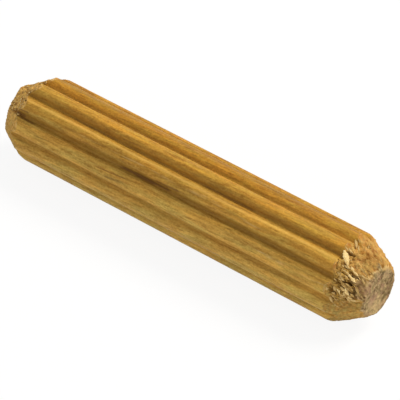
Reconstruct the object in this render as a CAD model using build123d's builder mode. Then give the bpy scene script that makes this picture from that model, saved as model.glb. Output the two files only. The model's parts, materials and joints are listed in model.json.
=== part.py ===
from build123d import *
import os
from collections import namedtuple
from math import atan2, cos, degrees, radians, sin

# A fluted wood dowel pin: one length of hardwood rod, fluted lengthwise and pointed at both ends.
# X runs along the pin, Z is up and the origin is the middle of the axis. The pin lies as it comes
# to rest, on two lands with a flute straight down. The point at +X is the torn one.
# Angles round the axis are counted from +Y towards +Z.

# Rod, over its lands
pin_diameter = 7.94
pin_length = 38.1

# Flutes, pressed in along the whole rod: hollow roots between broad round crests
flute_count = 12
flute_depth = 0.5
flute_root_radius = 0.2
land_width = 0.3  # what the round edges of two flutes leave between them
lowest_flute_angle = -90.0  # the flute that the pin lies over

# Points, turned after fluting: a soft edge at the lands, a cone, then a steeper rim round the face
near_point_length = 2.92
near_face_diameter = 4.24
near_rim_length = 0.3
near_rim_height = 0.31
near_edge_radius = 0.8
far_point_length = 2.39
far_face_diameter = 4.5
far_rim_length = 0.15
far_rim_height = 0.22
far_edge_radius = 1.4
edge_lift = 0.01  # each turning cut starts this far outside the lands
cut_overrun = 2.0  # how far every cut runs on past the wood

# The near cone split away from a step down to the end face, leaving one broad shallow hollow
split_angle = 149.0
split_start = 1.45  # from the near face
split_step = 0.26  # how deep the hollow is at the step
split_depth = 0.3  # and at the face, counted from the cone
split_radius = 6.0

# Pockets where fibre tore out of a cone. Each has its angle, the distance of its blind end from
# the end face, its depth there and its width. Its floor follows the grain out of the cone.
Pocket = namedtuple("Pocket", "angle from_face depth width")
near_pockets = [
    Pocket(angle=111.0, from_face=2.72, depth=0.34, width=0.32),
    Pocket(angle=149.0, from_face=1.9, depth=0.52, width=0.34),
    Pocket(angle=165.5, from_face=2.6, depth=0.36, width=0.36),
    Pocket(angle=171.5, from_face=1.56, depth=0.26, width=0.26),
]
far_pockets = [
    Pocket(angle=88.5, from_face=2.75, depth=0.7, width=0.4),
    Pocket(angle=148.5, from_face=2.6, depth=0.74, width=0.38),
]
pocket_floor_share = 0.4  # width of a pocket's floor, as a share of its width at the mouth

# Slivers of fibre left standing on the near cone. Each has its middle's angle and distance from
# the near face, its length, width and height, how far it turns from the grain towards larger
# angles, and how steeply it falls towards the end.
Sliver = namedtuple("Sliver", "angle from_face length width height turn fall")
slivers = [
    Sliver(angle=93.3, from_face=2.7, length=0.86, width=0.2, height=0.12, turn=51.0, fall=10.0),
    Sliver(angle=118.6, from_face=2.77, length=1.42, width=0.4, height=0.18, turn=46.0, fall=12.0),
    Sliver(angle=134.5, from_face=2.0, length=0.72, width=0.24, height=0.16, turn=15.0, fall=26.0),
    Sliver(angle=139.8, from_face=1.52, length=0.78, width=0.3, height=0.2, turn=20.0, fall=22.0),
    Sliver(angle=144.8, from_face=2.02, length=0.7, width=0.28, height=0.14, turn=27.0, fall=28.0),
    Sliver(angle=159.5, from_face=1.58, length=0.86, width=0.3, height=0.16, turn=40.0, fall=24.0),
    Sliver(angle=162.5, from_face=2.02, length=0.74, width=0.2, height=0.16, turn=49.0, fall=30.0),
]
sliver_root = 0.6  # how deep each sliver is still one with the wood
sliver_taper = 15.0  # how far its sides lean in

pin_radius = pin_diameter / 2
half_length = pin_length / 2

Point = namedtuple("Point", "side length edge_radius rim_length rim_radius face_radius")
near_point = Point(
    side=1,
    length=near_point_length,
    edge_radius=near_edge_radius,
    rim_length=near_rim_length,
    rim_radius=near_face_diameter / 2 + near_rim_height,
    face_radius=near_face_diameter / 2,
)
far_point = Point(
    side=-1,
    length=far_point_length,
    edge_radius=far_edge_radius,
    rim_length=far_rim_length,
    rim_radius=far_face_diameter / 2 + far_rim_height,
    face_radius=far_face_diameter / 2,
)


def cone_slope(point):
    """How fast a point's cone falls from the lands to its rim."""
    return (pin_radius - point.rim_radius) / (point.length - point.rim_length)


def cone_radius(point, from_face):
    """Radius of a point's cone at a distance from its end face, before anything tore."""
    return point.rim_radius + cone_slope(point) * (from_face - point.rim_length)


def falling_plane(angle, from_face, radius, fall):
    """A plane in the near point that faces out; its x runs to the end face, falling by an angle."""
    across = Vector(0, cos(radians(angle)), sin(radians(angle)))
    along = Vector(cos(radians(fall)), 0, 0) - across * sin(radians(fall))
    outward = Vector(sin(radians(fall)), 0, 0) + across * cos(radians(fall))
    origin = Vector(half_length - from_face, 0, 0) + across * radius
    return Plane(origin=origin, x_dir=along, z_dir=outward)


# One flute's outline: a hollow root arc between two round crests, each tangent to the arc and to
# the land, then the land as far as the next flute
half_pitch = radians(180 / flute_count)
land_start_angle = half_pitch - land_width / pin_diameter
root_centre_radius = pin_radius - flute_depth + flute_root_radius
root_reach = root_centre_radius * cos(land_start_angle)
crest_radius = (
    (pin_radius**2 + root_centre_radius**2 - flute_root_radius**2 - 2 * pin_radius * root_reach)
    / (2 * (pin_radius + flute_root_radius - root_reach))
)
root_centre = Vector(root_centre_radius, 0)
crest_centre = Vector(pin_radius - crest_radius, 0).rotate(Axis.Z, degrees(land_start_angle))
root_share = flute_root_radius / (flute_root_radius + crest_radius)
root_end = root_centre + (crest_centre - root_centre) * root_share
land_start = Vector(pin_radius, 0).rotate(Axis.Z, degrees(land_start_angle))
land_middle = Vector(pin_radius, 0).rotate(Axis.Z, degrees(half_pitch))
land_end = Vector(pin_radius, 0).rotate(Axis.Z, degrees(2 * half_pitch - land_start_angle))

with BuildLine() as flute_outline:
    RadiusArc((root_end.X, -root_end.Y), root_end, flute_root_radius)
    crest = RadiusArc(root_end, land_start, -crest_radius)
    mirror(crest, about=Plane.XZ)
    ThreePointArc(land_start, land_middle, land_end)

with BuildPart() as dowel_pin:
    # The fluted rod
    with BuildSketch(Plane.YZ.offset(-half_length)) as section:
        with BuildLine():
            with PolarLocations(0, flute_count, start_angle=lowest_flute_angle):
                add(flute_outline.line)
        make_face()
    extrude(amount=pin_length)

    # Both points, each turned from just outside the lands down past its end face
    for point in (near_point, far_point):
        rim_slope = (point.rim_radius - point.face_radius) / point.rim_length
        inboard = point.side * (half_length - point.length - cut_overrun)
        edge = point.side * (half_length - point.length - edge_lift / cone_slope(point))
        rim = point.side * (half_length - point.rim_length)
        beyond = point.side * (half_length + edge_lift)
        with BuildSketch(Plane.XZ) as waste:
            with BuildLine():
                turned = FilletPolyline(
                    (inboard, pin_radius + edge_lift),
                    (edge, pin_radius + edge_lift),
                    (rim, point.rim_radius),
                    radius=point.edge_radius,
                )
                Polyline(
                    turned @ 1,
                    (beyond, point.face_radius - rim_slope * edge_lift),
                    (beyond, pin_radius + cut_overrun),
                    (inboard, pin_radius + cut_overrun),
                    turned @ 0,
                )
            make_face()
        revolve(axis=Axis.X, mode=Mode.SUBTRACT)

    # The hollow, gouged by a round-nosed cut that starts square at the step
    floor_start = cone_radius(near_point, split_start) - split_step
    floor_end = cone_radius(near_point, 0) - split_depth
    split_fall = degrees(atan2(floor_start - floor_end, split_start))
    split = falling_plane(split_angle, split_start, floor_start, split_fall)
    gouge_centre = split.origin + split.z_dir * split_radius
    with BuildSketch(Plane(origin=gouge_centre, z_dir=split.x_dir)) as gouge:
        Circle(split_radius)
    extrude(amount=split_start + cut_overrun, mode=Mode.SUBTRACT)

    for point, pockets in ((near_point, near_pockets), (far_point, far_pockets)):
        for pocket in pockets:
            floor_half = pocket_floor_share * pocket.width / 2
            mouth_height = pocket.depth + cut_overrun
            mouth_half = floor_half + (pocket.width / 2 - floor_half) * mouth_height / pocket.depth
            floor_radius = min(pin_radius, cone_radius(point, pocket.from_face)) - pocket.depth
            blind_end = Plane.YZ.offset(point.side * (half_length - pocket.from_face))
            with BuildSketch(blind_end) as torn_out:
                with PolarLocations(floor_radius, 1, start_angle=pocket.angle):
                    Polygon(
                        (0, -floor_half),
                        (mouth_height, -mouth_half),
                        (mouth_height, mouth_half),
                        (0, floor_half),
                        align=None,
                    )
            reach = point.side * (pocket.from_face + cut_overrun)
            extrude(amount=reach, mode=Mode.SUBTRACT)

    for sliver in slivers:
        skin = cone_radius(near_point, sliver.from_face)
        surface = falling_plane(sliver.angle, sliver.from_face, skin, sliver.fall)
        with BuildSketch(surface.rotated((0, 0, -sliver.turn))) as lens:
            with BuildLine():
                tips = ((-sliver.length / 2, 0), (sliver.length / 2, 0))
                SagittaArc(*tips, sliver.width / 2)
                SagittaArc(*tips, -sliver.width / 2)
            make_face()
        extrude(amount=sliver.height, taper=sliver_taper)
        extrude(lens.sketch, amount=-sliver_root)

dowel_pin.part.label = "dowel_pin"
os.makedirs("parts", exist_ok=True)
export_step(dowel_pin.part, "parts/dowel_pin.step")
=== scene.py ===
import json
import math
from collections import namedtuple

import bpy
import numpy as np
from mathutils import Matrix, Vector


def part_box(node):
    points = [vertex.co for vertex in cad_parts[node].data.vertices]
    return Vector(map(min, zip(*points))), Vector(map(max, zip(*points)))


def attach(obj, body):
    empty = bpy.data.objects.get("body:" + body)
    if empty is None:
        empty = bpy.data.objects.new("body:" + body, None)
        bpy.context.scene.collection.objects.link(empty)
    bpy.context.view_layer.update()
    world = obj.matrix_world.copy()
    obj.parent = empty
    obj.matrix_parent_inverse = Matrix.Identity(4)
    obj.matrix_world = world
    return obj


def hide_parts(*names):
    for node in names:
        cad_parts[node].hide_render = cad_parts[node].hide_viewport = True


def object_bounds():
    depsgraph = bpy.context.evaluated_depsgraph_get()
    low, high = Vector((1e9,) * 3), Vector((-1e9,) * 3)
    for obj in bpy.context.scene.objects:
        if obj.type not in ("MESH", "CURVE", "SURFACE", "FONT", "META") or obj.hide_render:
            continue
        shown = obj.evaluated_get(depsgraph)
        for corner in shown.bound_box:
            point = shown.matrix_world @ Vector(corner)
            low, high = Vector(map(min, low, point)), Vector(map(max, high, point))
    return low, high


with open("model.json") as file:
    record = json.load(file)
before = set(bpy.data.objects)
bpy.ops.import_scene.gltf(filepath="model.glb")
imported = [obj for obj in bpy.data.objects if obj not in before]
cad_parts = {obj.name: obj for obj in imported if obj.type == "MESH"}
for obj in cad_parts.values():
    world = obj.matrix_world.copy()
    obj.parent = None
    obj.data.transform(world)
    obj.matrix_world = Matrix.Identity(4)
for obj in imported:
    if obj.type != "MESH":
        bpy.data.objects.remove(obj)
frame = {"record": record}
cad_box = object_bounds()

# A fluted wood dowel pin, lying on a pale floor. X runs along the pin to its torn end, Z is up.
# Sizes are in millimetres and angles in degrees, counted round the axis from +Y towards +Z, until
# MM takes a finished shape to the frame's metres.
MM = 0.001

# The rod and its flutes
PIN_LENGTH = (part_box("dowel_pin")[1].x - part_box("dowel_pin")[0].x) / MM
PIN_RADIUS = next(m for m in frame["record"]["mounts"] if m["name"] == "shank")["dims"]["r_mm"]
HALF_LENGTH = PIN_LENGTH / 2
FLUTE_COUNT = 12
FLUTE_PITCH = 360 / FLUTE_COUNT
FLUTE_DEPTH = 0.5
FLUTE_ROOT_RADIUS = 0.2
LAND_WIDTH = 0.3
LOWEST_FLUTE_ANGLE = -90
# Two flutes were pressed a little off their even places: each one's angle, and how far it is off
FLUTE_SHIFTS = {120: -1.6, 150: -1.8}

# Where a turned point isn't round: it stands proud by a height about an angle, and less and less
# as far as its reach from the face. Below 0 it is worn away there.
Lump = namedtuple("Lump", "angle half_angle reach height")

# The turned points. Each has a round edge at the lands, a cone and a steeper rim round the face.
# Its offsets say how far it stands off the axis, each towards an angle: at the face and the rim
# first, and at the lands.
Point = namedtuple(
    "Point",
    "side length edge_radius rim_length rim_radius face_radius"
    " offset_angle face_offset rim_offset edge_offset_angle edge_offset lumps",
)
NEAR_POINT = Point(
    side=1,
    length=3.0,
    edge_radius=0.8,
    rim_length=0.3,
    rim_radius=2.43,
    face_radius=2.17,
    offset_angle=48.5,
    face_offset=-0.05,
    rim_offset=0.06,
    edge_offset_angle=48.5,
    edge_offset=-0.1,
    lumps=(
        Lump(angle=250.0, half_angle=26.0, reach=0.7, height=-0.12),
        Lump(angle=8.0, half_angle=26.0, reach=0.6, height=0.09),
    ),
)
FAR_POINT = Point(
    side=-1,
    length=2.6,
    edge_radius=1.4,
    rim_length=0.15,
    rim_radius=2.49,
    face_radius=2.27,
    offset_angle=228.5,
    face_offset=0.24,
    rim_offset=0.28,
    edge_offset_angle=150.0,
    edge_offset=0.27,
    lumps=(
        Lump(angle=104.0, half_angle=26.0, reach=0.8, height=0.33),
        Lump(angle=176.0, half_angle=26.0, reach=0.9, height=-0.16),
    ),
)
EDGE_LIFT = 0.01  # each turning cut starts this far outside the lands

# The hollow that split away from a step down to the near face
SPLIT_ANGLE = 149.0
SPLIT_START = 1.45
SPLIT_STEP = 0.26
SPLIT_DEPTH = 0.3
SPLIT_RADIUS = 6.0
SPLIT_REACH = 80  # degrees on both sides of its angle
STEP_RUN = 0.06

# Ripples of the hollow's floor: the cosine and sine of their slant, how large each is and how
# much they bow
RIPPLE_COS = 0.8
RIPPLE_SIN = 0.6
RIPPLE_LENGTH = 0.45
RIPPLE_WIDTH = 0.2
RIPPLE_HEIGHT = 0.1
RIPPLE_BOW = 0.35
RIPPLE_FROM_AXIS = 0.6  # as a share of the pin's radius
RIPPLE_CELLS = 999  # more than there is room for, so that they don't repeat

# Marks of the tear. Each starts at one place on the cone and ends at another, both given as
# (angle round the axis, distance from the end face). Gaps are places where fibre is gone.
Gap = namedtuple("Gap", "start end width depth")
NEAR_GAPS = [
    Gap((111.5, 2.72), (108.5, 2.25), 0.34, 0.26),
    Gap((128.0, 2.6), (131.5, 1.5), 0.13, 0.16),
    Gap((131.8, 1.42), (133.5, 1.1), 0.26, 0.17),
    Gap((136.5, 2.4), (139.8, 1.5), 0.12, 0.16),
    Gap((147.5, 1.86), (151.0, 1.25), 0.36, 0.36),
    Gap((152.0, 2.15), (157.0, 1.75), 0.26, 0.18),
    Gap((163.5, 2.6), (168.0, 2.15), 0.3, 0.24),
    Gap((163.0, 1.05), (170.0, 0.7), 0.36, 0.16),
    Gap((169.5, 1.58), (174.0, 1.25), 0.28, 0.3),
    Gap((173.5, 2.36), (178.0, 2.05), 0.2, 0.18),
    Gap((166.0, 0.5), (168.0, 0.3), 0.2, 0.14),
    Gap((125.5, 2.95), (136.0, 2.72), 0.14, 0.12),
    Gap((82.0, 1.15), (77.0, 0.5), 0.16, 0.1),
]
FAR_GAPS = [
    Gap((88.0, 1.55), (91.0, 2.1), 0.26, 0.06),
    Gap((148.0, 1.0), (148.0, 1.6), 0.32, 0.14),
    Gap((128.5, 1.98), (129.5, 2.12), 0.22, 0.16),
    Gap((112.0, 0.1), (98.0, 0.55), 0.35, 0.05),
    Gap((150.5, 0.66), (152.0, 0.56), 0.22, 0.12),
]

# Fibres that stand on the near cone: each is rooted at its first place and free at the other
Fibre = namedtuple("Fibre", "start end width lift pale")
FIBRES = [
    Fibre((111.8, 2.95), (126.2, 2.06), 0.46, 0.2, 1.0),
    Fibre((107.5, 3.05), (108.8, 2.62), 0.14, 0.07, 0.4),
    Fibre((105.5, 2.8), (107.5, 2.3), 0.16, 0.12, 0.6),
    Fibre((88.6, 2.95), (98.0, 2.44), 0.24, 0.06, 0.4),
    Fibre((93.0, 2.45), (98.5, 2.16), 0.12, 0.08, 0.5),
    Fibre((83.5, 2.9), (86.5, 2.6), 0.14, 0.04, 0.2),
    Fibre((127.0, 2.32), (127.5, 1.82), 0.22, 0.12, 0.55),
    Fibre((124.5, 1.86), (129.0, 1.42), 0.22, 0.14, 0.8),
    Fibre((128.3, 1.5), (130.8, 1.06), 0.2, 0.14, 0.8),
    Fibre((133.0, 2.32), (136.0, 1.68), 0.18, 0.12, 0.85),
    Fibre((134.8, 1.82), (138.2, 1.4), 0.2, 0.12, 0.9),
    Fibre((137.8, 1.52), (141.8, 1.0), 0.27, 0.2, 1.0),
    Fibre((139.5, 2.5), (143.5, 2.05), 0.2, 0.1, 0.4),
    Fibre((142.5, 2.26), (147.0, 1.76), 0.2, 0.12, 0.5),
    Fibre((139.0, 1.92), (142.4, 1.55), 0.18, 0.12, 0.6),
    Fibre((151.0, 1.96), (156.0, 1.44), 0.22, 0.04, 0.2),
    Fibre((150.5, 1.32), (157.5, 0.93), 0.16, 0.1, 0.2),
    Fibre((156.5, 1.88), (161.0, 1.44), 0.18, 0.12, 0.5),
    Fibre((156.5, 1.56), (165.5, 1.1), 0.2, 0.15, 1.0),
    Fibre((158.4, 2.18), (166.5, 1.76), 0.16, 0.14, 1.0),
    Fibre((159.0, 2.36), (163.5, 2.12), 0.16, 0.1, 0.5),
    Fibre((163.0, 2.84), (165.5, 2.66), 0.16, 0.1, 0.6),
    Fibre((163.5, 1.58), (169.0, 1.34), 0.16, 0.1, 0.5),
    Fibre((169.0, 1.32), (178.0, 0.94), 0.15, 0.08, 0.5),
    Fibre((174.5, 2.44), (182.5, 2.12), 0.14, 0.07, 0.5),
    Fibre((174.0, 1.1), (173.5, 0.3), 0.14, 0.05, 0.5),
    Fibre((125.6, 1.1), (124.0, 0.16), 0.14, 0.04, 0.55),
    Fibre((130.5, 0.78), (137.0, 0.36), 0.14, 0.0, 0.45),
    Fibre((148.0, 0.92), (161.0, 0.44), 0.12, -0.02, 0.35),
]

# Dark streaks in the grain, as distances from the near face
Stain = namedtuple("Stain", "start end width strength")
STAINS = [
    Stain((146.8, 19.8), (148.3, 25.0), 0.38, 0.9),
    Stain((147.7, 21.4), (148.0, 23.2), 0.62, 1.0),
    Stain((142.0, 18.9), (143.6, 21.4), 0.26, 0.75),
    Stain((158.5, 23.8), (162.6, 27.2), 0.16, 0.65),
    Stain((165.4, 24.2), (168.0, 25.8), 0.26, 0.6),
    Stain((148.8, 35.7), (149.5, 36.8), 0.66, 0.75),
    Stain((151.6, 34.2), (151.2, 35.8), 0.26, 0.9),
    Stain((141.2, 35.2), (142.0, 36.1), 0.16, 0.8),
    Stain((162.8, 32.6), (163.4, 33.6), 0.12, 0.6),
    Stain((160.2, 34.0), (160.2, 34.5), 0.12, 0.6),
    Stain((173.3, 17.4), (172.6, 19.0), 0.2, 0.55),
    Stain((178.0, 18.5), (178.0, 19.2), 0.2, 0.45),
    Stain((178.2, 22.0), (178.2, 23.0), 0.18, 0.4),
    Stain((118.0, 26.5), (118.6, 31.0), 0.22, 0.4),
    Stain((117.5, 12.0), (118.0, 17.0), 0.22, 0.45),
]

# Painted highlights: pale lines along edges that face the light, placed like the streaks
EDGE_HIGHLIGHT_LINES = [
    Stain((117.5, 1.15), (124.0, 0.2), 0.16, 0.6),
    Stain((125.0, 0.3), (100.0, 0.24), 0.18, 0.5),
    Stain((100.0, 0.2), (55.0, 0.06), 0.2, 0.5),
    Stain((87.0, 37.1), (80.0, 35.6), 0.5, 0.6),
]

# Soft patches of painted shade on the torn end's cone
Shade = namedtuple("Shade", "angle from_face half_angle half_length strength")
SHADES = [
    Shade(93.0, 0.85, 24.0, 0.75, 0.55),
    Shade(159.0, 1.7, 15.0, 0.95, 0.6),
    Shade(188.0, 1.45, 14.0, 1.3, 0.42),
]

# Soft patches on the torn end's face, each of which makes one mark stronger: painted shade on its
# darker side, painted light on its paler side, and a patch of pinker wood
FacePatch = namedtuple("FacePatch", "mark angle from_axis reach strength")
FACE_PATCHES = [
    FacePatch("shade", 350.0, 1.8, 1.5, 0.6),
    FacePatch("edge", 258.0, 1.4, 1.3, 0.36),
    FacePatch("pink", 196.0, 0.95, 0.8, 0.5),
]

# Bands of darker colour that run the pin's whole length: partly darker grain, partly painted
# shade on the flute flanks that face away from the light
Band = namedtuple("Band", "angle half_width strength")
SHADE_AND_GRAIN_BANDS = [
    Band(146.0, 5.0, 0.5),
    Band(114.5, 5.0, 0.4),
    Band(158.0, 3.5, 0.15),
    Band(136.0, 3.2, 0.34),
    Band(74.0, 8.0, 0.36),
    Band(28.0, 6.0, 0.35),
    Band(236.0, 7.0, 0.35),
    Band(301.0, 6.0, 0.4),
]

# Painted highlights: bands of paler colour along the round crests, where they face the light
PAINTED_CREST_HIGHLIGHTS = [
    Band(127.4, 1.7, 0.42),
    Band(102.0, 3.0, 0.1),
]

# How far the grey end grain reaches up the near point, round the axis from the side seen best
GRAIN_FACING = (-180, -125, -105, -62, -53, -36, -21, -12, 36, 42, 55, 66, 100, 125, 180)
GRAIN_REACH = (0.3, 0.3, 0.0, 0.02, 0.42, 0.26, 0.14, 0.3, 0.28, 0.1, 0.28, 0.06, 0.1, 0.3, 0.3)

# Zones of a cone that are torn or rough. Each is given by its angles from the side seen best and
# its distances from the end face, both as least, most and how softly they end.
Zone = namedtuple("Zone", "facing from_face share", defaults=(1.0,))
TORN_ZONES = [
    Zone((-11, 33, 4), (0.9, 2.62, 0.25)),
    Zone((-34, -11, 4), (1.9, 2.7, 0.3), 0.5),
    Zone((30, 46, 4), (1.5, 2.5, 0.3), 0.7),
]
ROUGH_ZONES = [Zone((-110, -2, 16), (0.0, 2.75, 0.2))]
FAR_ROUGH_ZONES = [Zone((-120, 22, 12), (0.0, 2.4, 0.25))]
LEAST_ROUGH = 0.15
FAR_LEAST_ROUGH = 0.12

# Fine unevenness of the skin: how high it stands, how long its cells are, how many go round the
# axis, and how much higher it stands where a cone is rough
Grain = namedtuple("Grain", "height cell cells rough_height", defaults=(0.0,))
FLUTE_WANDER = Grain(0.5, 9.0, FLUTE_COUNT)  # in degrees
FLUTE_DEPTH_CHANGE = Grain(0.1, 12.0, FLUTE_COUNT)  # as a share of the depth
SHIFTED_ANGLES = (-11, 11, 5)  # on both sides of a shifted flute
ROD_GRAINS = [
    Grain(0.012, 7.0, 40),
    Grain(0.012, 3.5, 110),
    Grain(0.01, 1.6, 210),
]
CONE_GRAINS = [
    Grain(0.012, 0.42, 60, 0.06),
    Grain(0.008, 0.2, 120, 0.055),
    Grain(0.004, 0.1, 230, 0.03),
]
EDGE_GRAINS = [Grain(0.06, 0.6, 90), Grain(0.05, 2.0, 200)]
STEP_GRAIN = Grain(0.12, 1.0, 70)
GAP_GRAIN = Grain(0.35, 0.11, 180)  # as a share of a gap's half width
RIPPLE_GRAIN = Grain(0.4, 0.17, 130)  # as a share of the ripples' height
BAND_WANDER = Grain(1.5, 6.0, 24)  # in degrees
HOLLOW_COARSE = 0.03
FACE_GRAINS = [Grain(0.035, 0.33, 99), Grain(0.02, 0.14, 99)]
FACE_SINK = 0.03
FACE_DEEPEST = 0.09

# Fibre bundles that the near cone broke along: how many there are, how wide they are against each
# other, how long until they snap off, how high they stand and lift, and how round their backs are
BUNDLE_COUNT = 121
BUNDLE_WIDTHS = (1.6, 4.4)
BUNDLE_WANDER = Grain(1.1, 0.5, 60)  # in degrees
BUNDLE_SNAPS = 14
BUNDLE_LENGTHS = (0.22, 0.85)
BUNDLE_STARTS = (-0.5, 0.0)
BUNDLES_END = 3.5
BUNDLE_STEPS = (-0.06, 0.05)
BUNDLE_LIFTS = (-0.1, 0.16)
BUNDLE_CROWN = 0.045
BUNDLE_HEIGHTS = (-0.22, 0.15)
ROUGH_BUNDLES = 0.15

# From where to where the edges of cuts and marks fade, and how strong some marks are
CUT_EDGE = (0.0, 0.03)
SPLIT_EDGE = (-0.03, 0.05)
GAP_SIDES = (-0.1, 0.55)
PIT_DEPTHS = (0.04, 0.24)
BAND_SIDES = (0.2, 1.6)
LINE_SIDES = (0, 0.7)
SHADE_SIDES = (0.5, 1.4)
PATCH_SIDES = (0.2, 1.1)
GRAIN_SOFT = 0.12
PALE_EDGE_DEPTHS = (0.01, 0.04, 0.008)  # of the cut where its edge is pale
NEAR_PALE_EDGE = 0.22
FAR_PALE_EDGE = 0.5
FAR_LIGHT = 0.16
FAR_CRUMB_LIGHT = 0.4
RIM_WEAR = 0.02
RIM_WEAR_REACH = 0.08

# The rod's mesh: rows are closest in the torn cone, then in the far one, and columns over the
# torn side. Each point's marks end with its zone.
NEAR_ZONE = 3.4
NEAR_ROWS_END = 3.36
NEAR_ROW_STEP = 0.024
FAR_ZONE = 3.0
FAR_ROW_STEP = 0.052
MIDDLE_ROWS_END = 3.05
MIDDLE_ROWS = 62
COLUMN_COUNT = 320
COLUMN_SAMPLES = 2001
DENSE_ANGLES = (95, 200, 8)
DENSER = 0.9
NEAR_RINGS = 22
FAR_RINGS = 10

# Small fibres strewn over part of a cone: how many, and the least and the most of all the rest.
# Turns are from the grain towards larger angles.
Strewn = namedtuple("Strewn", "count angles from_faces turns lifts pales lengths widths")
NEAR_SIZES = {"lengths": (0.2, 0.45), "widths": (0.06, 0.14)}
NEAR_STREWN = [
    Strewn(46, (128, 172), (1.1, 2.6), (5, 40), (0.03, 0.1), (0.0, 0.8), **NEAR_SIZES),
    Strewn(26, (60, 125), (0.5, 2.8), (10, 60), (0.01, 0.05), (0.15, 0.5), **NEAR_SIZES),
    Strewn(14, (168, 190), (1.4, 2.5), (5, 50), (0.01, 0.06), (0.2, 0.5), **NEAR_SIZES),
]
FAR_STREWN = Strewn(
    90, (84, 152), (0.2, 2.3), (-60, 60), (0.03, 0.07), (0.2, 0.75), (0.12, 0.26), (0.07, 0.14)
)
STREWN_FROM_AXIS = 3.2

# A fibre's flake. Two sizes have these rows and columns in their mesh.
LARGE_FLAKE = (15, 7)
SMALL_FLAKE = (7, 3)
FLAKE_LEAN = 0.85
FLAKE_FULLNESS = 0.75
FLAKE_RAGS = 0.22
FLAKE_BEND = 0.08
FLAKE_ROOT_LIFT = 0.3
FLAKE_CROWN = 0.45
FLAKE_DROOP = 0.3
FLAKE_ROUGH = 0.008
FLAKE_THICK = 0.035
FLAKE_ROOT = 0.25
FLAKE_SINK = 0.05

SKIN_SEED = 12
FACE_SEED = 7
FIBRE_SEED = 5

# Colours, as 0 to 255 screen values. These run from the darkest wood of a kind to its palest.
# The next four are painted light: wood and cone painted gold by warm light over the top side, and
# duller underneath
COOL_LIT_WOOD = ((152, 114, 40), (221, 185, 96))
WARM_LIT_WOOD = ((155, 102, 20), (224, 168, 58))
COOL_LIT_CONE = ((118, 92, 38), (192, 160, 88))
WARM_LIT_CONE = ((160, 100, 30), (226, 172, 84))
# Pale raised crumbs, with painted shade in the low spots between them
PALE_CRUMBS_AND_SHADE = ((142, 92, 34), (242, 200, 118))
TORN_WOOD = ((104, 70, 18), (228, 184, 94))
END_GRAIN = ((104, 81, 46), (208, 178, 126))
HOLLOW_WOOD = ((104, 76, 34), (224, 188, 128))
FRESH_FIBRE = ((226, 180, 100), (255, 234, 174))
DULL_FIBRE = ((122, 84, 26), (190, 146, 66))
# These are laid over the wood
FLECKS = (126, 84, 26)
# Painted shade in the flute roots
FLUTE_ROOT_SHADE = (137, 94, 24)
# Partly darker grain, partly painted shade on flute flanks that face away from the light
DARK_SHADE_AND_GRAIN = (111, 75, 16)
DARK_STREAKS = (88, 52, 12)
RED_CONE_PATCHES = (184, 112, 62)
PINK_END_PATCHES = (180, 138, 104)
GREEN_END_PATCHES = (128, 108, 62)
PINK_FACE_PATCH = (176, 136, 108)
# Paler far cone and crumbs, and the painted highlights along the crests
PALE_WOOD_AND_HIGHLIGHTS = (246, 196, 98)
# Pale cut edges, and painted highlights along edges and on the torn face
PALE_EDGES_AND_HIGHLIGHTS = (238, 206, 142)
# Painted shade in the gaps where fibre is gone
PIT_SHADE = (118, 78, 18)
# These multiply the wood's colour
WOOD_TINTS = ((1.06, 0.965, 0.87, 1), (0.95, 1.01, 1.04, 1))
CONE_TINTS = ((1.1, 0.94, 0.82, 1), (0.9, 1.03, 1.1, 1))
SHADE_TINT = (0.55, 0.5, 0.4, 1)

GRAIN_TILT = (0, 2.4, -2.1)
WARM_LIT_SIDE = (0.66, 0.75)  # y and z of the side painted gold by warm light
ROD_ROUGHNESS = 0.55
CONE_ROUGHNESS = 0.8
FIBRE_ROUGHNESS = 0.65
SPECULAR = 0.2
WOOD_BUMP = 0.03
FIBRE_BUMP = 0.02

# The floor and the surround are seen nearly white, but light the pin less
FLOOR_HALF = 1.5
FLOOR_PAINT = 0.84
FLOOR_SEEN_PAINT = 0.11
FLOOR_SEEN_GLOW = 0.9
FLOOR_ROUGHNESS = 0.9
WORLD_LEVEL = 0.36

# Square lamps. Each lights a white surface facing it to its level. Its direction has three parts:
# up in the picture, towards the camera and along the pin. Its distance and size are in metres.
Lamp = namedtuple("Lamp", "name over back along distance size level tint")
LAMPS = [
    Lamp("key", 0.95, 0.25, 0.2, distance=0.4, size=0.2, level=0.85, tint=(1.0, 0.95, 0.86)),
    Lamp("fill", -0.45, 0.8, 0.0, distance=0.6, size=0.5, level=0.42, tint=(1, 1, 1)),
]

# The photograph: a square frame of 400 pixels, the pin's centre and the slope of its axis in it
FRAME_PIXELS = 400
PIN_CENTRE_PIXEL = (195.98, 197.41)
AXIS_SLOPE = 27.48
# The camera's direction from the pin: how far the near end turns to it, and the angle round the
# axis that faces it
NEAR_END_TURN = 27.0
FACING_ANGLE = 138.5
CAMERA_DISTANCE = 285.0
FOCAL_PIXELS = 3363.0
SENSOR_WIDTH = 36.0
CLIP_START = 0.01  # in metres


def smooth(low, high, value):
    """0 below low, 1 above high and an S-curve between them."""
    t = np.clip((value - low) / (high - low), 0, 1)
    return t * t * (3 - 2 * t)


def window(value, low, high, soft):
    """1 between low and high, fading to 0 outside them."""
    return smooth(low - soft, low + soft, value) * (1 - smooth(high - soft, high + soft, value))


def turn_from(angle, middle):
    """Signed angle from middle to angle, from -180 to 180."""
    return (angle - middle + 180) % 360 - 180


def noise(rng, u, v, cells):
    """Smooth noise from -1 to 1 that changes once a cell in u and v, and repeats in v."""
    column = np.floor(u).astype(int)
    row = np.floor(v).astype(int)
    u = smooth(0, 1, u - column)
    v = smooth(0, 1, v - row)
    column -= column.min()
    lattice = rng.uniform(-1, 1, (column.max() + 2, cells))
    low = lattice[column, row % cells] * (1 - u) + lattice[column + 1, row % cells] * u
    row += 1
    high = lattice[column, row % cells] * (1 - u) + lattice[column + 1, row % cells] * u
    return low * (1 - v) + high * v


def skin_noise(rng, x, angle, grain):
    """Noise from -1 to 1 on the rod's skin, in a grain's cells."""
    return noise(rng, x / grain.cell, angle / 360 * grain.cells, grain.cells)


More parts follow.
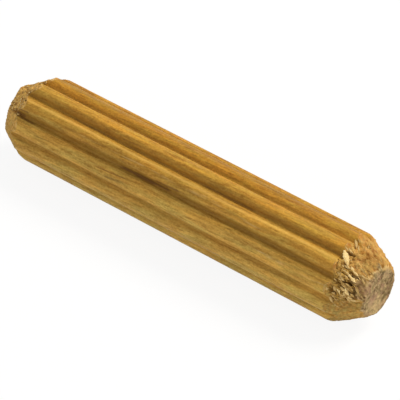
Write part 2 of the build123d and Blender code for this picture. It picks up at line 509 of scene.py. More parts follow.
def unevenness(rng, x, angle, grain):
    """How high a grain stands over the rod's skin."""
    return grain.height * skin_noise(rng, x, angle, grain)


def fluted_radius(offset):
    """Radius of the fluted section at an angle from its nearest flute: root, crest or land."""
    land_start = math.radians(FLUTE_PITCH / 2) - LAND_WIDTH / (2 * PIN_RADIUS)
    root_centre = PIN_RADIUS - FLUTE_DEPTH + FLUTE_ROOT_RADIUS
    reach = root_centre * math.cos(land_start)
    crest = PIN_RADIUS**2 + root_centre**2 - FLUTE_ROOT_RADIUS**2 - 2 * PIN_RADIUS * reach
    crest /= 2 * (PIN_RADIUS + FLUTE_ROOT_RADIUS - reach)
    crest_centre = PIN_RADIUS - crest
    share = FLUTE_ROOT_RADIUS / (FLUTE_ROOT_RADIUS + crest)
    root_end_x = root_centre + (crest_centre * math.cos(land_start) - root_centre) * share
    root_end_y = crest_centre * math.sin(land_start) * share
    root_end = math.atan2(root_end_y, root_end_x)
    off = np.radians(np.abs(offset))
    in_root = np.clip(FLUTE_ROOT_RADIUS**2 - (root_centre * np.sin(off)) ** 2, 0, None)
    root = root_centre * np.cos(off) - np.sqrt(in_root)
    aside = off - land_start
    in_crest = np.clip(crest**2 - (crest_centre * np.sin(aside)) ** 2, 0, None)
    round_crest = crest_centre * np.cos(aside) + np.sqrt(in_crest)
    return np.where(off < root_end, root, np.where(off < land_start, round_crest, PIN_RADIUS))


def cone_slope(point):
    """How fast a point's cone falls from the lands to its rim."""
    return (PIN_RADIUS - point.rim_radius) / (point.length - point.rim_length)


def cone_radius(point, from_face):
    """Radius of a point's cone about the pin's own axis."""
    return point.rim_radius + cone_slope(point) * (from_face - point.rim_length)


def turned_radius(point, from_face, angle):
    """Radius that a point was turned to: the lands, a round edge, the cone, then the rim."""
    slope = cone_slope(point)
    rim_slope = (point.rim_radius - point.face_radius) / point.rim_length
    places = 0, point.rim_length, point.length
    off_axis = np.interp(from_face, places, (point.face_offset, point.rim_offset, 0))
    rise = off_axis * np.cos(np.radians(angle - point.offset_angle))
    off_axis = np.interp(from_face, places, (0, 0, point.edge_offset))
    rise += off_axis * np.cos(np.radians(angle - point.edge_offset_angle))
    for lump in point.lumps:
        aside = np.clip(np.abs(turn_from(angle, lump.angle)) / lump.half_angle, 0, 1)
        aside = np.clip(np.abs(turn_from(angle, lump.angle)) / lump.half_angle, 0, 1)
        profile = lump.height * (1 - aside) ** 2 * (1 + 2 * aside)
        rise += profile * (1 - smooth(0, lump.reach, from_face))
    from_face = from_face + rise / slope
    fall = math.atan(slope)
    tangent = point.edge_radius * math.tan(fall / 2)
    corner = point.length + EDGE_LIFT / slope
    past = np.clip(corner + tangent - from_face, 0, point.edge_radius)
    arc = PIN_RADIUS + EDGE_LIFT - point.edge_radius + np.sqrt(point.edge_radius**2 - past**2)
    on_cone = from_face < corner - tangent * math.cos(fall)
    radius = np.where(on_cone, cone_radius(point, from_face), arc)
    rim = point.face_radius + rim_slope * (from_face - rise / slope) + rise
    return np.minimum(radius, rim)


def split_radius(from_face, angle):
    """Radius of the floor of the hollow that split off the near cone below its step."""
    floor_start = cone_radius(NEAR_POINT, SPLIT_START) - SPLIT_STEP
    floor_end = cone_radius(NEAR_POINT, 0) - SPLIT_DEPTH
    centre = floor_end + (floor_start - floor_end) * from_face / SPLIT_START + SPLIT_RADIUS
    off = np.radians(np.clip(turn_from(angle, SPLIT_ANGLE), -SPLIT_REACH, SPLIT_REACH))
    inside = SPLIT_RADIUS**2 - (centre * np.sin(off)) ** 2
    radius = centre * np.cos(off) - np.sqrt(np.clip(inside, 0, None))
    return np.where(inside > 0, radius, PIN_RADIUS * 2)


def span(mark, radius):
    """How far a mark runs along the axis and round it, at a radius."""
    (angle, from_face), (end_angle, end_from_face) = mark.start, mark.end
    return end_from_face - from_face, radius * math.radians(end_angle - angle)


def nearness(mark, from_face, angle, radius):
    """1 on a mark's middle line, 0 at its edge and below 0 outside it."""
    start_angle, start_from_face = mark.start
    u = from_face - start_from_face
    v = radius * np.radians(turn_from(angle, start_angle))
    end_u, end_v = span(mark, radius)
    share = np.clip((u * end_u + v * end_v) / (end_u**2 + end_v**2), 0, 1)
    return 1 - np.hypot(u - share * end_u, v - share * end_v) / (mark.width / 2)


def radius_under(mark, point):
    """Radius of a point's cone under the middle of a mark."""
    (_, from_face), (_, end_from_face) = mark.start, mark.end
    return min(PIN_RADIUS, cone_radius(point, (from_face + end_from_face) / 2))


def gap_depths(rng, gaps, point, from_face, angle):
    """How deep the gaps in one cone are, with ragged edges."""
    depths = np.zeros(angle.shape)
    ragged = unevenness(rng, from_face, angle, GAP_GRAIN)
    for gap in gaps:
        near = nearness(gap, from_face, angle, radius_under(gap, point)) + ragged
        depths = np.maximum(depths, gap.depth * smooth(*GAP_SIDES, near))
    return depths


def line_strength(lines, from_face, angle, ragged=0.0):
    """How strong thin lines of colour are."""
    strength = np.zeros(angle.shape)
    for line in lines:
        near = nearness(line, from_face, angle, PIN_RADIUS) + ragged
        strength = np.maximum(strength, line.strength * smooth(*LINE_SIDES, near))
    return strength


def band_strength(bands, angle):
    """How strong the bands that run the pin's whole length are."""
    strength = np.zeros(angle.shape)
    for band in bands:
        off = np.abs(turn_from(angle, band.angle)) / band.half_width
        strength = np.maximum(strength, band.strength * (1 - smooth(*BAND_SIDES, off)))
    return strength


def shade_strength(shades, from_face, angle, ragged):
    """How strong the soft patches of painted shade are."""
    strength = np.zeros(angle.shape)
    for shade in shades:
        aside = turn_from(angle, shade.angle) / shade.half_angle
        off = np.hypot(aside, (from_face - shade.from_face) / shade.half_length) + ragged
        strength = np.maximum(strength, shade.strength * (1 - smooth(*SHADE_SIDES, off)))
    return strength


def zone_share(zones, from_face, angle, least=0.0):
    """How torn or rough a cone is in its zones, and the least that it is anywhere."""
    facing = turn_from(angle, FACING_ANGLE)
    share = np.full(angle.shape, least)
    for zone in zones:
        inside = window(facing, *zone.facing) * window(from_face, *zone.from_face)
        share = np.maximum(share, inside * zone.share)
    return share


def bundle_relief(rng, from_face, angle):
    """Where the cone broke along its fibre bundles: each keeps to the grain, then snaps off."""
    widths = rng.uniform(*BUNDLE_WIDTHS, BUNDLE_COUNT)
    edges = np.cumsum(widths) / widths.sum() * 360
    place = (angle + unevenness(rng, from_face, angle, BUNDLE_WANDER)) % 360
    bundle = np.searchsorted(edges, place)
    snaps = np.cumsum(rng.uniform(*BUNDLE_LENGTHS, (BUNDLE_COUNT, BUNDLE_SNAPS)), axis=1)
    snaps += rng.uniform(*BUNDLE_STARTS, (BUNDLE_COUNT, 1))
    count = (snaps[bundle] <= from_face[..., None]).sum(-1)
    count = np.clip(count, 1, BUNDLE_SNAPS - 1)
    start = snaps[bundle, count]
    end = snaps[bundle, count - 1]
    step = rng.uniform(*BUNDLE_STEPS, snaps.shape)[bundle, count]
    lift = rng.uniform(*BUNDLE_LIFTS, snaps.shape)[bundle, count]
    along = np.clip((start - from_face) / (start - end), 0, 1)
    level = cone_radius(NEAR_POINT, (start + end) / 2) + step + lift * along**2 * 0.5
    half_width = widths[bundle] / widths.sum() * 180
    middle = edges[bundle] - half_width
    crown = 1 - (turn_from(place, middle) / half_width) ** 2
    level += BUNDLE_CROWN * (crown - 1)
    return np.clip(level - cone_radius(NEAR_POINT, from_face), *BUNDLE_HEIGHTS)


def placed(name, data):
    """A new object in the scene."""
    made = bpy.data.objects.new(name, data)
    bpy.context.scene.collection.objects.link(made)
    return made


def mesh_object(name, points, faces, attributes, material):
    """A smooth-shaded mesh object in metres, with named numbers stored on its points."""
    mesh = bpy.data.meshes.new(name)
    mesh.from_pydata((points * MM).tolist(), [], faces)
    for label, values in attributes.items():
        layer = mesh.attributes.new(label, "FLOAT", "POINT")
        layer.data.foreach_set("value", np.asarray(values, np.float32).ravel())
    mesh.materials.append(material)
    mesh.shade_smooth()
    mesh.update()
    return placed(name, mesh)


def around(x, radius, angle):
    """Points at distances along the axis, radii and angles round the axis."""
    turn = np.radians(angle)
    across = radius * np.cos(turn)
    return np.stack([np.broadcast_to(x, across.shape), across, radius * np.sin(turn)], -1)


def column_angles():
    """Angles of the mesh's columns."""
    angle = np.linspace(0, 360, COLUMN_SAMPLES)
    weight = 1 + DENSER * window(angle, *DENSE_ANGLES)
    total = np.concatenate([[0], np.cumsum((weight[1:] + weight[:-1]) / 2)])
    return np.interp(np.arange(COLUMN_COUNT) / COLUMN_COUNT * total[-1], total, angle)


def fluted_skin(rng, x, angle):
    """Radius of the fluted rod, and how far its flutes drop below the lands."""
    wander = unevenness(rng, x, angle, FLUTE_WANDER)
    offset = turn_from((angle - LOWEST_FLUTE_ANGLE) * FLUTE_COUNT, 0) / FLUTE_COUNT + wander
    for flute, shift in FLUTE_SHIFTS.items():
        offset -= shift * window(turn_from(angle, flute), *SHIFTED_ANGLES)
    drop = PIN_RADIUS - fluted_radius(offset)
    change = unevenness(rng, x, angle + FLUTE_PITCH / 2, FLUTE_DEPTH_CHANGE)
    radius = PIN_RADIUS - drop * (1 + change)
    for grain in ROD_GRAINS:
        radius += unevenness(rng, x, angle, grain)
    return radius, drop


def rippled_hollow(rng, x, angle, coarse):
    """Radius of the split hollow, rippled by the fibres it broke across, and the ripples."""
    from_near = HALF_LENGTH - x
    arc = np.radians(turn_from(angle, SPLIT_ANGLE)) * PIN_RADIUS * RIPPLE_FROM_AXIS
    along = (arc * RIPPLE_COS - from_near * RIPPLE_SIN) / RIPPLE_LENGTH
    across = arc * RIPPLE_SIN + from_near * RIPPLE_COS + RIPPLE_BOW * arc**2
    ripple = noise(rng, along, across / RIPPLE_WIDTH, RIPPLE_CELLS)
    ripple = (1 - RIPPLE_GRAIN.height) * ripple + unevenness(rng, x, angle, RIPPLE_GRAIN)
    radius = split_radius(from_near, angle) + RIPPLE_HEIGHT * ripple + HOLLOW_COARSE * coarse
    step = SPLIT_START + unevenness(rng, x * 0, angle, STEP_GRAIN)
    radius += PIN_RADIUS * smooth(step, step + STEP_RUN, from_near)
    return radius, ripple


def rod_surface(x, angle):
    """Radius of the pin over a grid of places, and marks that say what its surface is there."""
    rng = np.random.default_rng(SKIN_SEED)
    from_near = HALF_LENGTH - x
    from_far = HALF_LENGTH + x
    near_zone = from_near < NEAR_ZONE
    far_zone = from_far < FAR_ZONE

    # The rod and its turned points, whose edges are ragged where the cut crossed the lands
    fluted, flute_drop = fluted_skin(rng, x, angle)
    ragged = sum(unevenness(rng, x, angle, grain) for grain in EDGE_GRAINS)
    cone = turned_radius(NEAR_POINT, from_near + ragged, angle)
    cone = np.minimum(cone, turned_radius(FAR_POINT, from_far + ragged, angle))
    radius = np.minimum(fluted, cone)
    cut = smooth(*CUT_EDGE, fluted - cone)

    # Torn and rough wood on the cones
    torn = zone_share(TORN_ZONES, from_near, angle) * near_zone
    near_rough = zone_share(ROUGH_ZONES, from_near, angle, LEAST_ROUGH)
    far_rough = zone_share(FAR_ROUGH_ZONES, from_far, angle, FAR_LEAST_ROUGH)
    rough = np.where(near_zone, near_rough, far_rough)
    bundles = bundle_relief(rng, np.clip(from_near, 0, BUNDLES_END), angle)
    radius += np.where(near_zone, bundles * np.maximum(torn, rough * ROUGH_BUNDLES * cut), 0)
    patterns = [skin_noise(rng, x, angle, grain) for grain in CONE_GRAINS]
    for grain, pattern in zip(CONE_GRAINS, patterns):
        radius += cut * (grain.height + grain.rough_height * rough) * pattern
    coarse, crumbs, grit = patterns
    hollow, ripple = rippled_hollow(rng, x, angle, coarse)
    split = smooth(*SPLIT_EDGE, radius - hollow)
    radius = np.minimum(radius, hollow)
    gaps = gap_depths(rng, NEAR_GAPS, NEAR_POINT, from_near, angle) * near_zone
    gaps += gap_depths(rng, FAR_GAPS, FAR_POINT, from_far, angle) * far_zone
    radius = np.clip(radius - gaps, 0, PIN_RADIUS)
    rim = np.minimum(from_near, from_far)
    radius -= RIM_WEAR * (1 - smooth(0, RIM_WEAR_REACH, rim)) ** 2

    # What colours the skin
    wandered = angle + unevenness(rng, x, angle, BAND_WANDER)
    reach = np.interp(turn_from(angle, FACING_ANGLE), GRAIN_FACING, GRAIN_REACH)
    reach = reach * (1 + 0.5 * crumbs + 0.4 * coarse)
    end_grain = 1 - smooth(reach - GRAIN_SOFT, reach + GRAIN_SOFT, from_near)
    # Relief height that the rough cones' colour follows: pale crumbs on top, painted shade below
    relief = cut * np.maximum(torn, 0.6 * rough) * (coarse + crumbs)
    # Paler far cone and crumbs, and the painted highlights along the crests
    light = FAR_LIGHT + FAR_CRUMB_LIGHT * rough * smooth(0.0, 0.9, crumbs + grit)
    light = np.where(far_zone, light * cut, 0)
    light = np.maximum(light, band_strength(PAINTED_CREST_HIGHLIGHTS, wandered) * (1 - cut))
    # Pale cut edges, then painted highlights along edges that face the light
    edge = window(fluted - cone, *PALE_EDGE_DEPTHS) * smooth(-0.5, 0.6, crumbs + coarse)
    edge *= np.where(near_zone, NEAR_PALE_EDGE, FAR_PALE_EDGE)
    edge = np.maximum(edge, line_strength(EDGE_HIGHLIGHT_LINES, from_near, angle, ragged=0.3 * grit))
    marks = {
        # How deep in a flute: the flute roots get painted shade by this
        "flute": flute_drop / FLUTE_DEPTH * (1 - cut),
        "cut": cut,
        "torn": torn,
        "rough": rough * cut,
        "split": split,
        "ripple": ripple * 0.5 + 0.5,
        "relief": relief * 0.5 + 0.5,
        # Painted shade in the gaps where fibre is gone
        "pit": smooth(*PIT_DEPTHS, gaps),
        "stain": line_strength(STAINS, from_near, angle),
        # Partly darker grain, partly painted shade on flute flanks that face away from the light
        "band": band_strength(SHADE_AND_GRAIN_BANDS, wandered),
        # Painted shade in soft patches on the torn end
        "shade": shade_strength(SHADES, from_near, angle, ragged=0.2 * coarse),
        "light": light,
        "pink": np.zeros(x.shape),
        "edge": edge,
        "end": np.maximum(end_grain * (reach > 0), 0.85 * split),
    }
    return radius, marks


# What the marks are all over an end face, where they aren't 0
FACE_MARKS = {"end": 1.0, "cut": 1.0, "ripple": 0.5, "relief": 0.5}


def face_mark(label, places, patches):
    """One mark over an end face, with its patches."""
    level = np.full(len(places), FACE_MARKS.get(label, 0.0))
    for patch in patches:
        if patch.mark == label:
            middle = around(HALF_LENGTH, patch.from_axis, patch.angle)
            off = np.linalg.norm(places - middle, axis=1) / patch.reach
            level = np.maximum(level, patch.strength * (1 - smooth(*PATCH_SIDES, off)))
    return level


def rod(material):
    """The whole pin: a closed skin of rows along the axis, with both end faces."""
    columns = column_angles()
    near_rows = np.arange(0, NEAR_ROWS_END, NEAR_ROW_STEP)
    far_rows = np.arange(0, FAR_ZONE, FAR_ROW_STEP)
    middle_ends = (HALF_LENGTH - NEAR_ZONE, -HALF_LENGTH + MIDDLE_ROWS_END)
    middle_rows = np.linspace(*middle_ends, MIDDLE_ROWS)
    rows = np.concatenate([HALF_LENGTH - near_rows, middle_rows, (far_rows - HALF_LENGTH)[::-1]])
    x, angle = np.meshgrid(rows, columns, indexing="ij")
    radius, marks = rod_surface(x, angle)
    points = [around(x, radius, angle).reshape(-1, 3)]
    marks = {label: [values.ravel()] for label, values in marks.items()}

    here = np.arange(COLUMN_COUNT)
    after = (here + 1) % COLUMN_COUNT
    faces = []
    for row in range(len(rows) - 1):
        low = row * COLUMN_COUNT
        high = low + COLUMN_COUNT
        faces += np.stack([low + here, high + here, high + after, low + after], -1).tolist()

    # The end faces, in rings from the rim to the middle
    rng = np.random.default_rng(FACE_SEED)
    total = x.size
    ends = ((0, 1, NEAR_RINGS, FACE_PATCHES), (len(rows) - 1, -1, FAR_RINGS, ()))
    for row, side, rings, patches in ends:
        previous = row * COLUMN_COUNT + here
        for ring in range(1, rings):
            inner = radius[row] * (1 - ring / rings)
            flat = around(0.0, inner, columns)
            relief = -FACE_SINK
            for grain in FACE_GRAINS:
                relief = relief + grain.height * noise(
                    rng, flat[:, 1] / grain.cell, flat[:, 2] / grain.cell, grain.cells
                )
            face_x = side * (HALF_LENGTH + np.clip(relief, -FACE_DEEPEST, 0))
            points.append(around(face_x, inner, columns))
            current = total + here
            quad = [previous, previous[after], current[after], current]
            faces += np.stack(quad[::side], -1).tolist()
            total += COLUMN_COUNT
            previous = current
        points.append(np.array([[side * (HALF_LENGTH - FACE_SINK), 0.0, 0.0]]))
        triangle = [previous, previous[after], np.full(COLUMN_COUNT, total)]
        faces += np.stack(triangle[::side], -1).tolist()
        total += 1
        on_face = np.concatenate(points[-rings:])
        for label, values in marks.items():
            values.append(face_mark(label, on_face, patches))
    marks = {label: np.concatenate(values) for label, values in marks.items()}
    return mesh_object("fluted_rod", np.concatenate(points), faces, marks, material)


def fibre_shell(rng, fibre, point, rows, columns):
    """One fibre as a thin closed flake: rooted in the cone, pointed, crowned and lifted."""
    # u runs from its root to its tip and v from side to side
    u, v = np.meshgrid(np.linspace(0, 1, rows), np.linspace(-1, 1, columns), indexing="ij")
    outline = np.sin(np.pi * np.clip(u, 0.04, 0.97) ** FLAKE_LEAN) ** FLAKE_FULLNESS
    outline = outline * (1 + FLAKE_RAGS * rng.uniform(-1, 1, (rows, 1)))
    start_angle, start_from_face = fibre.start
    middle_radius = radius_under(fibre, point)
    run, arc = span(fibre, middle_radius)
    length = math.hypot(run, arc)
    bend = FLAKE_BEND * length * rng.uniform(-1, 1) * np.sin(np.pi * u)
    across = v * fibre.width / 2 * outline + bend
    from_face = start_from_face + run * u + across * arc / length
    angle = start_angle + np.degrees((arc * u - across * run / length) / middle_radius)
    skin = np.minimum(PIN_RADIUS, turned_radius(point, from_face, angle))
    lifted = FLAKE_ROOT_LIFT + (1 - FLAKE_ROOT_LIFT) * smooth(0, 0.8, u)
    rise = fibre.lift * lifted * (1 - FLAKE_CROWN * v**2)
    rise = rise * (1 - FLAKE_DROOP * smooth(0.85, 1, u))
    rise += FLAKE_ROUGH * rng.uniform(-1, 1, u.shape)
    rooted = 1 - smooth(0.25, 0.9, u)
    thickness = FLAKE_THICK + FLAKE_ROOT * rooted + FLAKE_SINK
    x = point.side * (HALF_LENGTH - from_face)
    top = around(x, skin + rise, angle).reshape(-1, 3)
    low = around(x, skin + rise - thickness, angle).reshape(-1, 3)
    count = rows * columns
    grid = np.arange(count).reshape(rows, columns)
    faces = []
    for a in grid[:-1, :-1].ravel().tolist():
        faces.append((a, a + columns, a + columns + 1, a + 1))
        faces.append((count + a, count + a + 1, count + a + columns + 1, count + a + columns))
    sides = [grid[:, 0], grid[-1, 1:], grid[-2::-1, -1], grid[0, -2:0:-1]]
    border = np.concatenate(sides).tolist()
    for first, second in zip(border, border[1:] + border[:1]):
        faces.append((second, first, count + first, count + second))
    faces = [face[:: -point.side] for face in faces]
    return np.concatenate([top, low]), faces


def strewn_fibres(rng, strewn):
    """Small fibres strewn over part of a cone."""
    made = []
    for _ in range(strewn.count):
        angle = rng.uniform(*strewn.angles)
        from_face = rng.uniform(*strewn.from_faces)
        length = rng.uniform(*strewn.lengths)
        turn = math.radians(rng.uniform(*strewn.turns))
        end_angle = angle + math.degrees(length * math.sin(turn) / STREWN_FROM_AXIS)
        made.append(
            Fibre(
                start=(angle, from_face),
                end=(end_angle, from_face - length * math.cos(turn)),
                width=rng.uniform(*strewn.widths),
                lift=rng.uniform(*strewn.lifts),
                pale=rng.uniform(*strewn.pales),
            )
        )
    return made


def fibres(material):
    """Every lifted fibre: the large ones at their places, and small ones strewn between them."""
    rng = np.random.default_rng(FIBRE_SEED)
    near = [fibre for strewn in NEAR_STREWN for fibre in strewn_fibres(rng, strewn)]
    far = strewn_fibres(rng, FAR_STREWN)
    points, faces, pales = [], [], []
    total = 0
    batches = (
        (FIBRES, NEAR_POINT, LARGE_FLAKE),
        (near, NEAR_POINT, SMALL_FLAKE),
        (far, FAR_POINT, SMALL_FLAKE),
    )
    for batch, point, grid in batches:
        for fibre in batch:
            shell, shell_faces = fibre_shell(rng, fibre, point, *grid)
            points.append(shell)
            faces += [tuple(total + i for i in face) for face in shell_faces]
            pales.append(np.full(len(shell), fibre.pale))
            total += len(shell)
    marks = {"pale": np.concatenate(pales)}
    return mesh_object("torn_fibres", np.concatenate(points), faces, marks, material)


def srgb(red, green, blue):
    """A colour as linear light, from its 0 to 255 screen values."""
    values = np.array([red, green, blue]) / 255
    linear = np.where(values <= 0.04045, values / 12.92, ((values + 0.055) / 1.055) ** 2.4)
    return (*linear.tolist(), 1.0)


def grey(level):
    """A grey as linear light."""
    return (level, level, level, 1)


class Nodes:
    """Short calls for building one material's node tree."""

    def __init__(self, name):
        self.material = bpy.data.materials.new(name)
        self.material.use_nodes = True
        self.tree = self.material.node_tree
        self.shader = self.tree.nodes["Principled BSDF"]
        self.coordinates = self.add("ShaderNodeTexCoord").outputs["Object"]

    def feed(self, socket, value):
        """Link a socket to a node's output or a mark's name, or set it to a plain value."""
        if isinstance(value, str):
            value = self.mark(value)
        if isinstance(value, bpy.types.NodeSocket):
            self.tree.links.new(value, socket)
        else:
            socket.default_value = value

    def add(self, kind, inputs=(), **settings):
        made = self.tree.nodes.new(kind)
        for key, value in settings.items():
            setattr(made, key, value)
        for key, value in dict(inputs).items():
            self.feed(made.inputs[key], value)
        return made

    def shade(self, **inputs):
        """Give the material's shader its inputs, named with underscores."""
        for name, value in inputs.items():
            self.feed(self.shader.inputs[name.replace("_", " ")], value)

    def math(self, operation, first, second=0.0, third=0.0, clamp=False):
        inputs = {0: first, 1: second, 2: third}
        return self.add("ShaderNodeMath", inputs, operation=operation, use_clamp=clamp).outputs[0]

    def sway(self, value, pattern, weight, clamp=False):
        """A value moved up and down by a pattern."""
        either_way = self.math("SUBTRACT", pattern, 0.5)
        return self.math("MULTIPLY_ADD", either_way, weight, value, clamp=clamp)

    def mark(self, name):
        return self.add("ShaderNodeAttribute", attribute_name=name).outputs["Fac"]

    def noise(self, along, across, detail, roughness=0.5, distortion=0.0, tilt=(0, 0, 0)):
        """Noise with so many cells a millimetre along the pin and across it, tilted by angles."""
        rotation = [math.radians(t) for t in tilt]
        size = (along / MM, across / MM, across / MM)
        turned = self.add("ShaderNodeMapping", {"Vector": self.coordinates, "Rotation": rotation})
        scaled = self.add("ShaderNodeMapping", {"Vector": turned.outputs[0], "Scale": size})
        inputs = {
            "Vector": scaled.outputs[0],
            "Scale": 1.0,
            "Detail": detail,
            "Roughness": roughness,
            "Distortion": distortion,
        }
        return self.add("ShaderNodeTexNoise", inputs).outputs["Fac"]

    def grain(self, along, across, detail=3, roughness=0.6, distortion=0.0):
        """Noise that follows the wood's grain."""
        return self.noise(along, across, detail, roughness, distortion, tilt=GRAIN_TILT)

    def ramp(self, value, *stops):
        """A grey ramp through (place, value) stops."""
        made = self.add("ShaderNodeValToRGB", {"Fac": value})
        elements = made.color_ramp.elements
        while len(elements) < len(stops):
            elements.new(0.5)
        for element, (position, level) in zip(elements, stops):
            element.position = position
            element.color = grey(level)
        return made.outputs["Color"]

    def mix(self, share, first, second, blend="MIX"):
        made = self.add("ShaderNodeMix", data_type="RGBA", blend_type=blend)
        for socket, value in ((0, share), (6, first), (7, second)):
            self.feed(made.inputs[socket], value)
        return made.outputs[2]

    def between(self, share, colours):
        """A colour between the darkest and the palest of a pair of screen colours."""
        dark, pale = colours
        return self.mix(share, srgb(*dark), srgb(*pale))

    def cover(self, colour, share, paint, strength=1.0):
        """A colour with a screen colour or another node's colour over it."""
        if strength < 1.0:
            share = self.math("MULTIPLY", share, strength)
        if isinstance(paint, tuple):
            paint = srgb(*paint)
        return self.mix(share, colour, paint)

    def tinted(self, colour, tint):
        return self.mix(1.0, colour, tint, blend="MULTIPLY")

    def bump(self, height, distance):
        inputs = {"Height": height, "Distance": distance * MM, "Strength": 1.0}
        return self.add("ShaderNodeBump", inputs).outputs["Normal"]


def hardwood():
    """Bare gold-toned hardwood: streaks along the grain, short dark flecks, painted shade in the
    flute roots, pale torn fibre and grey-brown end grain, and painted warm light over its top."""
    wood = Nodes("bare_hardwood")
    broad = wood.grain(0.05, 0.8, roughness=0.5)
    band = wood.grain(0.16, 2.6, roughness=0.5, distortion=0.5)
    streak = wood.grain(0.5, 5.0)
    fibre = wood.grain(1.7, 8.5, detail=2)
    speck = wood.noise(5.0, 6.5, detail=2, roughness=0.7)

    # Light and dark wood, painted gold by warm light over the top and duller underneath
    tone = wood.sway(0.5, broad, 0.6)
    tone = wood.sway(tone, band, 0.9)
    tone = wood.sway(tone, streak, 1.35)
    tone = wood.sway(tone, fibre, 1.0)
    tone = wood.sway(tone, speck, 1.1, clamp=True)
    apart = wood.add("ShaderNodeSeparateXYZ", {0: wood.coordinates})
    height = wood.math("MULTIPLY", apart.outputs["Y"], WARM_LIT_SIDE[0] / MM)
    height = wood.math("MULTIPLY_ADD", apart.outputs["Z"], WARM_LIT_SIDE[1] / MM, height)
    warm_lit = wood.math("MULTIPLY_ADD", height, 0.5 / PIN_RADIUS, 0.5)
    warm_lit = wood.sway(warm_lit, band, 0.8, clamp=True)
    colour = wood.mix(warm_lit, wood.between(tone, COOL_LIT_WOOD), wood.between(tone, WARM_LIT_WOOD))

    fleck = wood.grain(0.62, 6.0, detail=1, roughness=0.5)
    colour = wood.cover(colour, wood.ramp(fleck, (0.62, 0.0), (0.72, 1.0)), FLECKS, strength=0.4)
    hue = wood.grain(0.3, 1.7)
    colour = wood.tinted(colour, wood.mix(wood.ramp(hue, (0.38, 0.0), (0.62, 1.0)), *WOOD_TINTS))
    # Painted shade in the flute roots
    flute = wood.ramp("flute", (0.25, 0.0), (1.0, 1.0))
    colour = wood.cover(colour, flute, FLUTE_ROOT_SHADE, strength=0.5)
    # Partly darker grain, partly painted shade on flute flanks that face away from the light
    colour = wood.cover(colour, "band", DARK_SHADE_AND_GRAIN)
    colour = wood.cover(colour, "stain", DARK_STREAKS, strength=0.8)

    # The turned cones
    chop = wood.noise(3.4, 4.6, detail=3, roughness=0.7)
    patch = wood.noise(1.1, 1.6, detail=2.5, roughness=0.6)
    mottle = wood.noise(2.4, 3.0, detail=3, roughness=0.6)
    grain = wood.ramp(chop, (0.35, 0.0), (0.65, 1.0))
    red_patch = wood.ramp(patch, (0.5, 0.0), (0.66, 0.6))
    # Painted warm light over the top of the cones too, duller underneath
    warm_lit_cone = wood.cover(wood.between(grain, WARM_LIT_CONE), red_patch, RED_CONE_PATCHES)
    cone = wood.mix(warm_lit, wood.between(grain, COOL_LIT_CONE), warm_lit_cone)
    cone = wood.tinted(cone, wood.mix(wood.ramp(mottle, (0.4, 0.0), (0.6, 1.0)), *CONE_TINTS))
    colour = wood.cover(colour, "cut", cone, strength=0.85)
    # Pale raised crumbs, with painted shade in the low spots between them
    relief = wood.ramp("relief", (0.25, 0.0), (0.5, 0.5), (0.75, 1.0))
    colour = wood.cover(colour, "rough", wood.between(relief, PALE_CRUMBS_AND_SHADE), strength=0.4)
    torn = wood.between(wood.ramp(chop, (0.32, 0.0), (0.64, 1.0)), TORN_WOOD)
    colour = wood.cover(colour, "torn", torn, strength=0.7)

    # End grain on the faces and in the split hollow
    pore = wood.noise(2.6, 2.6, detail=2.5, roughness=0.55)
    end = wood.between(wood.ramp(pore, (0.34, 0.0), (0.66, 1.0)), END_GRAIN)
    hollow = wood.between(wood.ramp("ripple", (0.3, 0.0), (0.75, 1.0)), HOLLOW_WOOD)
    end = wood.cover(end, "split", hollow, strength=0.8)
    end = wood.cover(end, wood.ramp(patch, (0.5, 0.0), (0.62, 0.6)), PINK_END_PATCHES)
    end = wood.cover(end, wood.ramp(patch, (0.36, 0.6), (0.47, 0.0)), GREEN_END_PATCHES)
    end = wood.cover(end, "pink", PINK_FACE_PATCH)
    colour = wood.cover(colour, "end", end)

    # Paler far cone and crumbs, and the painted highlights along the crests
    colour = wood.cover(colour, "light", PALE_WOOD_AND_HIGHLIGHTS)
    # Pale cut edges, and painted highlights along edges and on the torn face
    colour = wood.cover(colour, "edge", PALE_EDGES_AND_HIGHLIGHTS)
    # Painted shade from the soft patches on the torn end's cone and face
    colour = wood.mix("shade", colour, SHADE_TINT, blend="MULTIPLY")
    # Painted shade in the gaps where fibre is gone
    colour = wood.cover(colour, "pit", PIT_SHADE, strength=0.85)

    bumps = wood.math("MULTIPLY_ADD", fibre, 0.5, streak)
    bumps = wood.math("MULTIPLY_ADD", wood.math("MULTIPLY", chop, "cut"), 2.6, bumps)
    bumps = wood.math("MULTIPLY_ADD", pore, "end", bumps)
    rougher = CONE_ROUGHNESS - ROD_ROUGHNESS
    wood.shade(
        Base_Color=colour,
        Roughness=wood.math("MULTIPLY_ADD", "cut", rougher, ROD_ROUGHNESS),
        Normal=wood.bump(bumps, WOOD_BUMP),
        Specular_IOR_Level=SPECULAR,
    )
    return wood.material


def torn_fibre():
    """Fresh pale fibre of the lifted flakes, streaked along their length."""
    fibre = Nodes("torn_fibre")
    streak = fibre.noise(1.5, 12.0, detail=3, roughness=0.6)
    grain = fibre.ramp(streak, (0.3, 0.0), (0.7, 1.0))
    fresh = fibre.between(grain, FRESH_FIBRE)
    dull = fibre.between(grain, DULL_FIBRE)
    fibre.shade(
        Base_Color=fibre.mix("pale", dull, fresh),
        Roughness=FIBRE_ROUGHNESS,
        Normal=fibre.bump(streak, FIBRE_BUMP),
        Specular_IOR_Level=SPECULAR,
    )
    return fibre.material


def seen_share(tree):
    """1 for rays from the camera, gloss and glass, 0 for rays that light the pin."""
    path = tree.nodes.new("ShaderNodeLightPath")
    seen = path.outputs["Is Camera Ray"]
    for kind in ("Is Glossy Ray", "Is Transmission Ray"):
        either = tree.nodes.new("ShaderNodeMath")
        either.operation = "MAXIMUM"
        tree.links.new(seen, either.inputs[0])
        tree.links.new(path.outputs[kind], either.inputs[1])
        seen = either.outputs[0]
    return seen


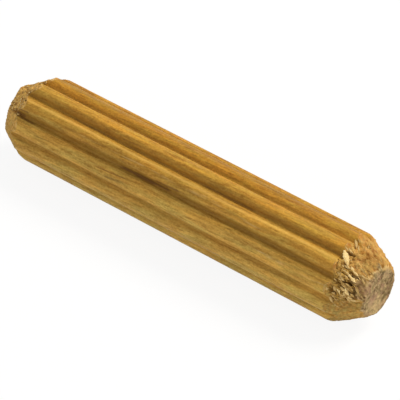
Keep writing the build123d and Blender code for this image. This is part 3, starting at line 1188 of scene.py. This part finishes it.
def pale_floor():
    """The floor that the pin lies on: a wide pale sheet that keeps the pin's shadow."""
    level = cad_box[0].z
    mesh = bpy.data.meshes.new("floor")
    corners = [(-1, -1), (1, -1), (1, 1), (-1, 1)]
    corners = [(x * FLOOR_HALF, y * FLOOR_HALF, level) for x, y in corners]
    mesh.from_pydata(corners, [], [(0, 1, 2, 3)])
    floor = placed("floor", mesh)
    paper = Nodes("floor_paper")
    seen = seen_share(paper.tree)
    paper.shade(
        Base_Color=paper.mix(seen, grey(FLOOR_PAINT), grey(FLOOR_SEEN_PAINT)),
        Roughness=FLOOR_ROUGHNESS,
        Specular_IOR_Level=0.0,
    )
    glow_level = paper.math("MULTIPLY", seen, FLOOR_SEEN_GLOW)
    glow = paper.add("ShaderNodeEmission", {"Color": grey(1), "Strength": glow_level})
    both = paper.add("ShaderNodeAddShader", {0: paper.shader.outputs[0], 1: glow.outputs[0]})
    paper.feed(paper.tree.nodes["Material Output"].inputs["Surface"], both.outputs[0])
    mesh.materials.append(paper.material)


def world_light():
    """An even grey surround that shows as white to the camera."""
    world = bpy.data.worlds.new("surround")
    bpy.context.scene.world = world
    world.use_nodes = True
    tree = world.node_tree
    background = tree.nodes["Background"]
    strength = tree.nodes.new("ShaderNodeMapRange")
    strength.inputs["To Min"].default_value = WORLD_LEVEL
    strength.inputs["To Max"].default_value = 1.0
    tree.links.new(seen_share(tree), strength.inputs["Value"])
    tree.links.new(strength.outputs["Result"], background.inputs["Strength"])
    background.inputs["Color"].default_value = grey(1)


def soft_lamp(lamp, over, back, along):
    """A square lamp in its direction, facing the pin."""
    data = bpy.data.lights.new(lamp.name, "AREA")
    data.shape = "SQUARE"
    data.size = lamp.size
    data.energy = lamp.level * math.pi**2 * lamp.distance**2
    data.color = lamp.tint
    direction = (over * lamp.over + back * lamp.back + along * lamp.along).normalized()
    made = placed(lamp.name, data)
    made.location = direction * lamp.distance
    made.rotation_mode = "QUATERNION"
    made.rotation_quaternion = direction.to_track_quat("Z", "Y")


def camera():
    """The photograph's view: above the torn end's side, with the axis falling to the right."""
    turn = math.radians(NEAR_END_TURN)
    facing = math.radians(FACING_ANGLE)
    back = Vector(
        (math.sin(turn), math.cos(turn) * math.cos(facing), math.cos(turn) * math.sin(facing))
    )
    along = (Vector((1, 0, 0)) - back * back.x).normalized()
    over = back.cross(along)
    slope = math.radians(AXIS_SLOPE)
    right = along * math.cos(slope) + over * math.sin(slope)
    up = over * math.cos(slope) - along * math.sin(slope)
    data = bpy.data.cameras.new("camera")
    data.sensor_width = SENSOR_WIDTH
    data.lens = FOCAL_PIXELS / FRAME_PIXELS * SENSOR_WIDTH
    data.clip_start = CLIP_START
    pixel = CAMERA_DISTANCE / FOCAL_PIXELS
    aside = (FRAME_PIXELS / 2 - PIN_CENTRE_PIXEL[0]) * pixel
    above = (PIN_CENTRE_PIXEL[1] - FRAME_PIXELS / 2) * pixel
    basis = Matrix((right, up, back)).transposed().to_4x4()
    basis.translation = (back * CAMERA_DISTANCE + right * aside + up * above) * MM
    made = placed("camera", data)
    made.matrix_world = basis
    bpy.context.scene.camera = made
    return over, back, along


over, back, along = camera()
body = rod(hardwood())
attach(body, "root")
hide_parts("dowel_pin")

lifted = fibres(torn_fibre())
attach(lifted, "root")

pale_floor()
world_light()
for lamp in LAMPS:
    soft_lamp(lamp, over, back, along)

bpy.context.scene.view_settings.view_transform = "Standard"
